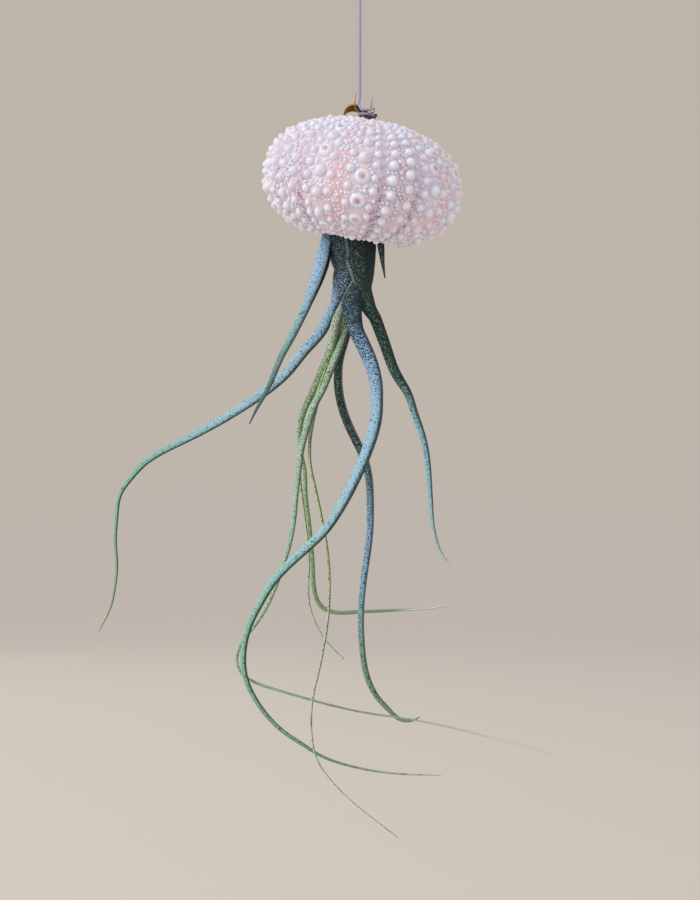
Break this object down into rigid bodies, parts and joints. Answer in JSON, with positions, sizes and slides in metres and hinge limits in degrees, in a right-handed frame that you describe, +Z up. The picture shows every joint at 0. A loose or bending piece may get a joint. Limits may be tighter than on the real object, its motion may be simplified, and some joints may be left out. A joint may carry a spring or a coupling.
{
  "type": "hanging air plant holder",
  "caption": "Cleaned sea urchin shell hung on a thread, with an air plant growing down through it like a jellyfish.",
  "frame": {"origin": "the point inside the top of the hanging loop that bears on the hook", "axes": "+Z up along the taut thread, -Y towards the front of the picture, +X to its right"},
  "size_m": [0.1735, 0.0744, 0.3299],
  "materials": {
    "shell": "matte",
    "thread": "matte",
    "dry_stem": "matte",
    "dry_leaf": "matte",
    "bulb": "satin",
    "blue_leaf": "satin",
    "green_leaf": "satin",
    "light_leaf": "satin"
  },
  "bodies": {
    "eye": {"hanging_loop": "thread"},
    "knot": {"loop_knot": "thread"},
    "thread": {"hanging_thread": "thread"},
    "plant": {"tie_winding": "thread", "tie_knot": "thread", "thread_tail": "thread", "stem_stub": "dry_stem", "dry_leaf_arch": "dry_leaf", "dry_root_curl": "dry_leaf", "dry_scales": "dry_leaf", "bulb_core": "bulb", "leaf_left_short": "blue_leaf", "leaf_left_long": "blue_leaf", "leaf_front": "blue_leaf", "leaf_right": "green_leaf", "leaf_back": "green_leaf", "leaf_light": "light_leaf", "leaf_hooked": "light_leaf", "leaf_hair": "light_leaf", "leaf_whip": "light_leaf", "leaf_spike": "bulb"},
    "shell": {"urchin_shell": "shell"}
  },
  "joints": [
    {"name": "swing_sideways", "type": "hinge", "parent": "eye", "child": "knot", "pos_m": [0, 0, -0.0124], "axis": [0, 1, 0], "range_deg": [-30, 30]},
    {"name": "swing_fore_aft", "type": "hinge", "parent": "knot", "child": "thread", "pos_m": [0, 0, -0.0124], "axis": [1, 0, 0], "range_deg": [-30, 30]},
    {"name": "thread_twist", "type": "hinge", "parent": "thread", "child": "plant", "pos_m": [0, 0, -0.0511], "axis": [0, 0, 1], "continuous": true},
    {"name": "shell_turn", "type": "hinge", "parent": "plant", "child": "shell", "pos_m": [0.0008, 0.0002, -0.0848], "axis": [0.1727, -0.1045, 0.9794], "continuous": true}
  ]
}
